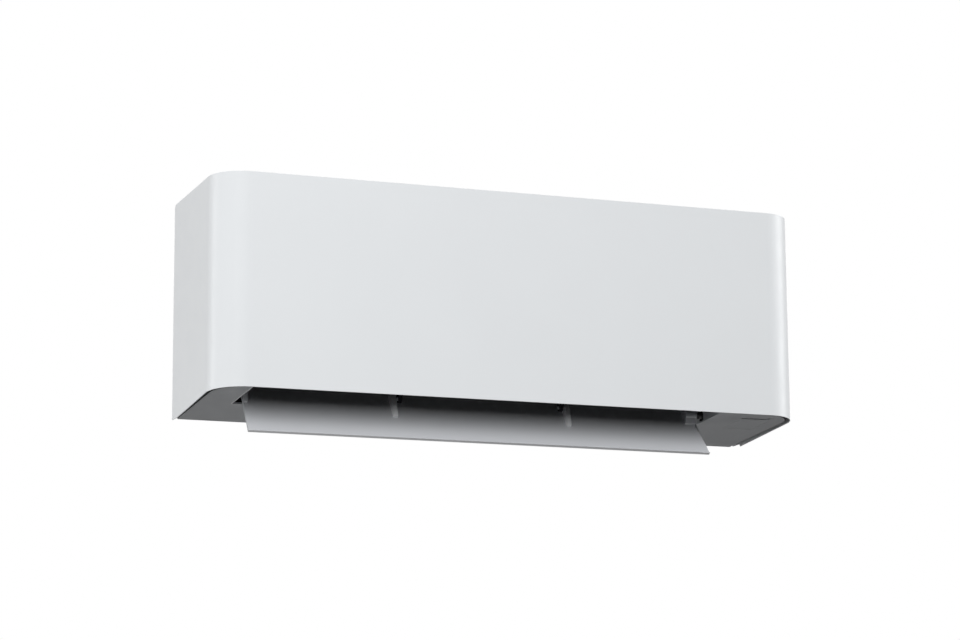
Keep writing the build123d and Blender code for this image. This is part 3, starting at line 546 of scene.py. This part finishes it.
def trim_ends(vertices):
    """The deflector's ends lean in a little from its free edge to the hinge."""
    near_end = 0.1  # vertices this near an end belong to it
    curl, most_right = 0.0024, 7.0
    slope, most_left = 0.05, 1.3
    low = min((vertex.co for vertex in vertices), key=lambda co: co.z)
    edge_y, edge_z = low.y, low.z
    for vertex in vertices:
        co = vertex.co
        reach = math.hypot(co.y - edge_y, co.z - edge_z) / MM
        if co.x > (FLAP_RIGHT - near_end) * MM:
            co.x -= min(FREE_END_INSET + curl * reach ** 2, most_right) * MM
        elif co.x < (FLAP_LEFT + near_end) * MM:
            co.x += min(slope * reach, most_left) * MM


def paint_highlight_faces(thing):
    """Painted highlight: a paler colour on the deflector's mid arms and its free edge, where they
    catch the light.
    """
    arm_half = ARM_WIDTH / 2 + 0.2
    facing = 0.95  # cosine of the widest angle from the free edge's normal
    data = thing.data
    data.materials.append(PAINTED_HIGHLIGHT_WHITE)
    turn = math.radians(FLAP_OPEN)
    outward = Vector((0.0, -math.cos(turn), -math.sin(turn)))
    for face in data.polygons:
        across = [data.vertices[n].co.x / MM for n in face.vertices]
        on_arm = any(all(abs(x - arm) < arm_half for x in across) for arm in MID_ARMS)
        if on_arm or face.normal.dot(outward) > facing:
            face.material_index = 1


def soft_edges():
    """Rounded edges on the mouldings that show."""
    shell = rounded_copy(
        "front_cover", "cover_shell", "cover", COVER, bevel=0.8
    )
    thin_edge(shell)
    blade = rounded_copy(
        "flap", "deflector_blade", "deflector", DEFLECTOR_PAINTED_SHADE, bevel=0.5, trim=trim_ends
    )
    # painted highlight on the blade's mid arms and free edge
    paint_highlight_faces(blade)
    for node, name, look in (
        ("bottom_panel", "underside_tray", PANEL),
        ("service_hatch", "underside_hatch", PANEL),
        ("top_grille", "inlet_grille", GRILLE),
    ):
        rounded_copy(node, name, "root", look, bevel=0.4)


def pairs_of(pack):
    """Centres of a pack's tubes, as pairs across its thickness."""
    start, end, tubes = COIL_PACKS[pack]
    return [
        [along(start, end, (n + 0.5) / tubes, off) for off in (ROW_PITCH / 2, -ROW_PITCH / 2)]
        for n in range(tubes)
    ]


def fin_packs():
    """Stacks of thin fins in place of the plain packs, with the tubes through them."""
    pitch, thickness = 2.4, 0.22
    teeth, tooth = 10, 0.5
    half = COIL_THICKNESS / 2
    for node, (start, end, _) in COIL_PACKS.items():
        outline = []
        for side, n in there_and_back(teeth):
            off = half - tooth if n % 2 else half
            outline.append(along(start, end, n / teeth, off if side else -off))
        fin = Mesh()
        fin.prism(outline, COIL_LEFT, COIL_LEFT + thickness)
        made = piece(node + "_fins", fin, "root", FINS, (node,))
        stack = made.modifiers.new("stack", "ARRAY")
        stack.use_relative_offset = False
        stack.use_constant_offset = True
        stack.constant_offset_displace = (pitch * MM, 0.0, 0.0)
        stack.count = int((COIL_RIGHT - COIL_LEFT - thickness) / pitch) + 1
    short, sides = 0.3, 14
    pipes = Mesh()
    for pack in COIL_PACKS:
        for pair in pairs_of(pack):
            for centre in pair:
                pipes.rod(centre, TUBE_RADIUS, COIL_LEFT + short, COIL_RIGHT - short, sides)
    piece("coil_tubes", pipes, "root", COPPER)


def tube_bend(mesh, first, second, x, outward):
    """Half ring of tube between two tube centres, standing out of an end plate."""
    straight, steps, sides = 1.2, 12, 12
    middle = ((first[0] + second[0]) / 2, (first[1] + second[1]) / 2)
    radius = math.dist(first, second) / 2
    across = ((first[0] - middle[0]) / radius, (first[1] - middle[1]) / radius)
    rings = []
    for n in range(-1, steps + 2):
        turn = math.pi * min(max(n, 0), steps) / steps
        leg = 0.0 if n in (-1, steps + 1) else straight
        ring = []
        for u, aside in circle(TUBE_RADIUS, sides):
            out = radius + u
            ring.append((
                x + outward * (leg + out * math.sin(turn)),
                middle[0] + across[0] * out * math.cos(turn) - across[1] * aside,
                middle[1] + across[1] * out * math.cos(turn) + across[0] * aside,
            ))
        rings.append(ring)
    mesh.loft(rings)


def coil_ends():
    """Round bends at both ends of the packs; at the right the pipes take the last pair."""
    pairs = [pair for pack in COIL_PACKS for pair in pairs_of(pack)]
    for side, bent, x, outward in (
        ("left", pairs, COIL_LEFT - END_SHEET, -1),
        ("right", pairs[:-1], COIL_RIGHT + END_SHEET, 1),
    ):
        bends = Mesh()
        for pair in bent:
            tube_bend(bends, *pair, x, outward)
        piece(
            "round_bends_" + side, bends, "root", COPPER, ("coil_bends_" + side,),
            smooth=ROUND_ANGLE,
        )


def fan_ring(rotor, x, hole, rim, sides):
    """Flat ring between two bays of the rotor."""
    right = x + FAN_DISC
    rings = [
        [(place, FAN_AXIS[0] + u, FAN_AXIS[1] + h) for u, h in circle(radius, sides)]
        for radius, place in ((hole, x), (rim, x), (rim, right), (hole, right))
    ]
    rotor.loft(rings + rings[:1], closed=False)


def blade_outline(turn, inner, outer):
    """Curved blade between two radii, thinner on its way out."""
    steps, curl = 5, 12.0
    root, taper = 1.1, 0.5
    outline = []
    for side, n in there_and_back(steps):
        share = n / steps
        radius = inner + (outer - inner) * share
        angle = turn + math.radians(curl * share * share)
        angle += side * (root - taper * share) / radius
        outline.append((
            FAN_AXIS[0] + radius * math.cos(angle),
            FAN_AXIS[1] + radius * math.sin(angle),
        ))
    return outline


def impeller():
    """Cross-flow rotor with its full set of thin curved blades, skewed bay by bay."""
    bays, blades, skew = 8, 35, 0.35  # skew as a share of the blades' pitch
    inner, outer = FAN_RADIUS * 0.76, FAN_RADIUS - 0.6
    hole, rim, sides = inner - 3.0, FAN_RADIUS - 0.1, 56
    hub_radius, hub_length, hub_sides, overlap = 10.0, 24.0, 32, 0.5
    bay = (FAN_RIGHT - FAN_LEFT - FAN_DISC) / bays
    rotor = Mesh()
    for number in range(bays + 1):
        x = FAN_LEFT + bay * number
        if number in (0, bays):
            rotor.rod(FAN_AXIS, rim, x, x + FAN_DISC, sides, chamfer=0.4)
        else:
            fan_ring(rotor, x, hole, rim, sides)
    for number in range(bays):
        left = FAN_LEFT + bay * number + FAN_DISC / 2
        for blade in range(blades):
            turn = math.tau * (blade + skew * number) / blades
            rotor.prism(blade_outline(turn, inner, outer), left, left + bay)
    hub_start, hub_end = FAN_RIGHT - hub_length, FAN_RIGHT - FAN_DISC + overlap
    rotor.rod(FAN_AXIS, hub_radius, hub_start, hub_end, hub_sides, chamfer=0.6)
    piece("fan_impeller", rotor, "fan", FAN, ("fan_rotor",))


def grille_ribs():
    """Thin ribs under the inlet grille, across its slots, and bars along them."""
    ribs = Mesh()
    span, pitch, half = 396.0, 16.5, 0.6
    near, far, low, high = 24.0, 198.0, 278.0, 284.0
    lug_half, lug_rear = 6.0, 34.0  # a rib within this half width starts behind the lug
    for number in range(int(2 * span / pitch) + 1):
        x = pitch * number - span
        by_lug = any(abs(x - lug) <= lug_half for lug in LUGS)
        ribs.bar(x - half, x + half, lug_rear if by_lug else near, far, low, high)
    column_pitch, slot_half = 266.0, 129.5
    first_row, row_pitch, rows = 42.25, 34.0, 5
    bar_off, bar_half = 4.9, 0.7
    bar_low, bar_high = 279.5, 285.6
    for column in (-column_pitch, 0.0, column_pitch):
        for number in range(rows):
            for off in (-bar_off, bar_off):
                middle = first_row + row_pitch * number + off
                ribs.bar(
                    column - slot_half, column + slot_half, middle - bar_half,
                    middle + bar_half, bar_low, bar_high,
                )
    piece("grille_ribs", ribs, "root", GRILLE, bevel=0.15)


def outlet_cheek():
    """Pale lining on the end wall at the right of the outlet, cut out round the hinge."""
    face, back = OUTLET_RIGHT - 0.7, OUTLET_RIGHT - 0.05
    near, far, lift = 8.5, 111.5, 0.2
    clear, steps = 6.6, 12
    depth, height = HINGE
    outline = [above_tray(near, lift), above_tray(depth - clear, lift)]
    for n in range(steps + 1):
        turn = math.pi * (1.0 - n / steps)
        outline.append((depth + clear * math.cos(turn), height + clear * math.sin(turn)))
    outline += [above_tray(depth + clear, lift), above_tray(far, lift)]
    rear, rear_top, front_top, front = (112.5, -2.0), (141.0, 50.0), (46.5, 50.0), (8.0, 5.0)
    outline += [rear, rear_top, front_top, front]
    cheek = Mesh()
    cheek.prism(outline, face, back)
    piece("outlet_cheek", cheek, "root", PANEL)


def outlet_bead():
    """Small round bead along the tray's edge at the left of the outlet, in a paler white as a
    painted highlight.
    """
    near, far = 8.0, 110.0
    radius, sides, aside = 0.8, 10, 0.9
    bead = Mesh()
    bead.loft([
        [(OUTLET_LEFT - aside + u, depth, under(depth) + h) for u, h in circle(radius, sides)]
        for depth in (near, far)
    ])
    piece("outlet_bead", bead, "root", PAINTED_HIGHLIGHT_WHITE, smooth=ROUND_ANGLE)


def opened(point):
    """A side-view point of the shut deflector, turned to the pose that is written."""
    turn = math.radians(FLAP_OPEN)
    depth, height = point[0] - HINGE[0], point[1] - HINGE[1]
    return (
        HINGE[0] + depth * math.cos(turn) - height * math.sin(turn),
        HINGE[1] + depth * math.sin(turn) + height * math.cos(turn),
    )


def blade_lip():
    """Small raised lip along the deflector's free edge, on its inner face."""
    free, rear = [above_tray(depth, FLAP_LIFT) for depth in FLAP_EDGES]
    length = math.dist(free, rear)
    foot, top = 2.3, 4.1  # from the deflector's outer face
    start, crest_end, foot_end = -0.02, 1.5, 1.8  # from the free edge
    outline = [
        opened(along(free, rear, reach / length, off))
        for reach, off in ((start, foot), (start, top), (crest_end, top), (foot_end, foot))
    ]
    short = 0.05
    lip = Mesh()
    lip.prism(outline, FLAP_LEFT + short, FLAP_RIGHT - FREE_END_INSET - short)
    # painted highlight on the lip's faces along the free edge
    paint_highlight_faces(piece("blade_lip", lip, "deflector", DEFLECTOR_PAINTED_SHADE, bevel=0.15))


def finger_recess():
    """Floor of the finger slot, a little inside the hatch."""
    left, right = 345.8, 385.9
    near, middle, far = 26.8, 32.0, 37.9
    low_near, low, high = 1.3, 1.0, 2.4  # above the tray's lower face
    recess = Mesh()
    recess.prism([
        above_tray(near, low_near), above_tray(middle, low), above_tray(far, low),
        above_tray(far, high), above_tray(near, high),
    ], left, right)
    piece("finger_recess", recess, "root", PANEL)


def tray_path():
    """Outside of the tray's rim in plan, in two runs that end at the outlet.

    Each point is (x, depth) with the direction that is outward there.
    """
    left, right, front, rear, radius = -412.8, 414.5, 6.35, 219.0, 46.65
    gap, steps = 4.0, 12
    runs = []
    for side_x, inward, stop in ((left, 1, OUTLET_LEFT - gap), (right, -1, OUTLET_RIGHT + gap)):
        run = [(side_x, rear, -inward, 0.0)]
        for n in range(steps + 1):
            turn = math.radians(90.0 * n / steps)
            x = side_x + inward * radius * (1.0 - math.cos(turn))
            depth = front + radius * (1.0 - math.sin(turn))
            run.append((x, depth, -inward * math.cos(turn), -math.sin(turn)))
        run.append((stop, front, 0.0, -1.0))
        runs.append(run)
    return runs


def rim_gap_painted_shade():
    """Black strip round the outside of the tray's rim, as painted shade in the gap between the
    tray and the cover's walls.
    """
    thickness, sunk = 0.5, 0.1
    low_lift, high_lift = 0.35, 8.8
    shade_strip = Mesh()
    for run in tray_path():
        rings = []
        for x, depth, out_x, out_depth in run:
            low, high = under(depth) + low_lift, under(depth) + high_lift
            outer = (x + out_x * thickness, depth + out_depth * thickness)
            inner = (x - out_x * sunk, depth - out_depth * sunk)
            rings.append([(*outer, low), (*outer, high), (*inner, high), (*inner, low)])
        shade_strip.loft(rings)
    # the strip's black is painted shade for the gap
    piece("rim_gap_painted_shade", shade_strip, "root", RUBBER)


def board_parts():
    """Capacitors and chips on the main board."""
    tall = Mesh()
    for x, height, radius, top in CAPACITORS:
        tall.can(x, height, top, BOARD_FACE, radius)
    piece("board_capacitors", tall, "root", DARK)
    sunk = 0.05
    chips = Mesh()
    for left, right, low, high, top in CHIPS:
        chips.bar(left, right, top, BOARD_FACE + sunk, low, high)
    piece("board_chips", chips, "root", DARK, bevel=0.3)


def terminal_screws():
    """Two screws in each of the terminal block's four bays."""
    bays, first_bay, bay_pitch = 4, 88.0, 17.0
    left, right, radius, sides = 398.5, 400.6, 2.6, 16
    columns = (47.5, 54.5)
    screws = Mesh()
    for number in range(bays):
        height = first_bay + bay_pitch * number
        for depth in columns:
            screws.rod((depth, height), radius, left, right, sides, chamfer=0.4)
    piece("terminal_screws", screws, "root", SCREWS)


def receiver_window():
    """Dark window of the receiver and lamp board."""
    window = Mesh()
    window.bar(left=341.0, right=387.0, near=13.2, far=15.2, low=115.0, high=135.0)
    piece("receiver_window", window, "root", LENS, bevel=0.4)


def filter_tabs():
    """Finger tabs at the filters' lower edges, each with three ridges."""
    near, far, low, high, half = 16.2, 18.2, 99.0, 111.0, 12.0
    ridge_near, ridge_far, ridge_low, ridge_high, ridge_half = 15.4, 16.4, 101.0, 102.2, 9.0
    ridges, ridge_pitch = 3, 3.5
    places = (0.25, 0.75)  # shares of a filter's width
    tabs = Mesh()
    for left, right in FILTER_SPANS:
        for share in places:
            x = left + (right - left) * share
            tabs.bar(x - half, x + half, near, far, low, high)
            for n in range(ridges):
                rise = ridge_pitch * n
                tabs.bar(
                    x - ridge_half, x + ridge_half, ridge_near, ridge_far, ridge_low + rise,
                    ridge_high + rise,
                )
    piece("filter_tabs", tabs, "root", FILTER, bevel=0.3)


def motor_details():
    """Round can of the fan motor with its seam and its end rings."""
    left, right, sides = 314.0, 384.0, 72
    seam_radius, seam_left, seam_right = MOTOR_RADIUS + 0.8, 347.5, 350.5
    ring_radius, ring_reach, overlap, ring_sides = 17.9, 7.0, 0.5, 48
    can = Mesh()
    can.rod(FAN_AXIS, MOTOR_RADIUS, left, right, sides, chamfer=5.0)
    can.rod(FAN_AXIS, seam_radius, seam_left, seam_right, sides, chamfer=0.6)
    for start, end in ((left - ring_reach, left + overlap), (right - overlap, right + ring_reach)):
        can.rod(FAN_AXIS, ring_radius, start, end, ring_sides, chamfer=0.8)
    piece("motor_can_round", can, "root", MOTOR, ("fan_motor",))


# --- studio ---


def seen_or_lighting(tree, seen, lighting):
    """One shader for the rays that show the surroundings, and another for the rest.

    Camera, glossy and transmission rays show them; the rest only bring their light.
    """
    path = tree.nodes.new("ShaderNodeLightPath")
    shown = larger(tree, path.outputs["Is Camera Ray"], path.outputs["Is Glossy Ray"])
    shown = larger(tree, shown, path.outputs["Is Transmission Ray"])
    mix = tree.nodes.new("ShaderNodeMixShader")
    tree.links.new(shown, mix.inputs["Fac"])
    tree.links.new(lighting, mix.inputs[1])
    tree.links.new(seen, mix.inputs[2])
    return mix.outputs["Shader"]


def studio_world(above, below):
    """White where it is seen; a soft light from above, and less from below, elsewhere."""
    dark_until, bright_from = -0.05, 0.40  # upward part of a ray's direction
    world = bpy.data.worlds.new("studio")
    bpy.context.scene.world = world
    world.use_nodes = True
    tree = world.node_tree
    tree.nodes.clear()
    seen = tree.nodes.new("ShaderNodeBackground")
    seen.inputs["Color"].default_value = (1.0, 1.0, 1.0, 1.0)
    light = tree.nodes.new("ShaderNodeBackground")
    coordinates = tree.nodes.new("ShaderNodeTexCoord")
    split = tree.nodes.new("ShaderNodeSeparateXYZ")
    tree.links.new(coordinates.outputs["Generated"], split.inputs["Vector"])
    level = spread(tree, split.outputs["Z"], below, above, dark_until, bright_from)
    tree.links.new(level, light.inputs["Color"])
    output = tree.nodes.new("ShaderNodeOutputWorld")
    mixed = seen_or_lighting(tree, seen.outputs["Background"], light.outputs["Background"])
    tree.links.new(mixed, output.inputs["Surface"])


def floor(height, seen_shade, bounce_shade):
    """Pale floor below the unit, as pale as it looks only where it is seen."""
    half = 40.0
    material = bpy.data.materials.new("studio_floor")
    material.use_nodes = True
    tree = material.node_tree
    tree.nodes.clear()
    shaders = []
    for grey in (seen_shade, bounce_shade):
        diffuse = tree.nodes.new("ShaderNodeBsdfDiffuse")
        diffuse.inputs["Color"].default_value = (grey, grey, grey, 1.0)
        shaders.append(diffuse.outputs["BSDF"])
    output = tree.nodes.new("ShaderNodeOutputMaterial")
    tree.links.new(seen_or_lighting(tree, *shaders), output.inputs["Surface"])
    data = bpy.data.meshes.new("studio_floor")
    corners = [(-half, -half), (half, -half), (half, half), (-half, half)]
    data.from_pydata([(x, y, height) for x, y in corners], [], [(0, 1, 2, 3)])
    data.materials.append(material)
    thing = bpy.data.objects.new("studio_floor", data)
    bpy.context.scene.collection.objects.link(thing)


def softbox(name, azimuth, elevation, distance, size, level, mirrored=True):
    """Area lamp toward the unit; level is what it adds on a surface that faces it."""
    centre = Vector((0.0, -DEPTH / 2 * MM, 0.0))
    a, e = math.radians(azimuth), math.radians(elevation)
    away = Vector((math.sin(a) * math.cos(e), -math.cos(a) * math.cos(e), math.sin(e)))
    data = bpy.data.lights.new(name, "AREA")
    data.shape = "RECTANGLE"
    data.size, data.size_y = size
    data.energy = level * math.pi ** 2 * distance ** 2
    lamp = bpy.data.objects.new(name, data)
    lamp.location = centre + away * distance
    lamp.rotation_mode = "QUATERNION"
    lamp.rotation_quaternion = (-away).to_track_quat("-Z", "Y")
    lamp.visible_camera = False
    lamp.visible_glossy = mirrored
    bpy.context.scene.collection.objects.link(lamp)


def camera():
    """The photograph's viewpoint: from the left and a little below, looking up."""
    azimuth, elevation, roll = (math.radians(angle) for angle in VIEW_ANGLES)
    forward = Vector((
        math.sin(azimuth) * math.cos(elevation),
        math.cos(azimuth) * math.cos(elevation),
        math.sin(elevation),
    ))
    level_right = Vector((math.cos(azimuth), -math.sin(azimuth), 0.0))
    level_up = level_right.cross(forward)
    right = math.cos(roll) * level_right + math.sin(roll) * level_up
    up = -math.sin(roll) * level_right + math.cos(roll) * level_up
    data = bpy.data.cameras.new("view")
    data.lens, data.sensor_width = VIEW_LENS, VIEW_SENSOR
    data.clip_start, data.clip_end = 0.05, 100.0
    thing = bpy.data.objects.new("view", data)
    rows = zip(right, up, -forward, VIEW_PLACE)
    thing.matrix_world = Matrix((*rows, (0.0, 0.0, 0.0, 1.0)))
    bpy.context.scene.collection.objects.link(thing)
    bpy.context.scene.camera = thing


dress_nodes()
soft_edges()
fin_packs()
coil_ends()
impeller()
grille_ribs()
outlet_cheek()
outlet_bead()
blade_lip()
finger_recess()
rim_gap_painted_shade()
board_parts()
terminal_screws()
receiver_window()
filter_tabs()
motor_details()

camera()
bpy.context.scene.view_settings.view_transform = "Standard"
studio_world(above=0.60, below=0.015)
floor(height=-2.2, seen_shade=0.95, bounce_shade=0.080)
softbox(
    "key", azimuth=-28.0, elevation=17.5, distance=3.6, size=(3.0, 2.4), level=0.77,
    mirrored=False,
)
softbox("rim", azimuth=-112.0, elevation=8.0, distance=3.6, size=(0.8, 2.4), level=0.15)
softbox("right", azimuth=78.0, elevation=15.0, distance=3.6, size=(1.8, 1.8), level=0.41)
softbox("low", azimuth=-100.0, elevation=-40.0, distance=1.8, size=(0.8, 0.8), level=0.06)
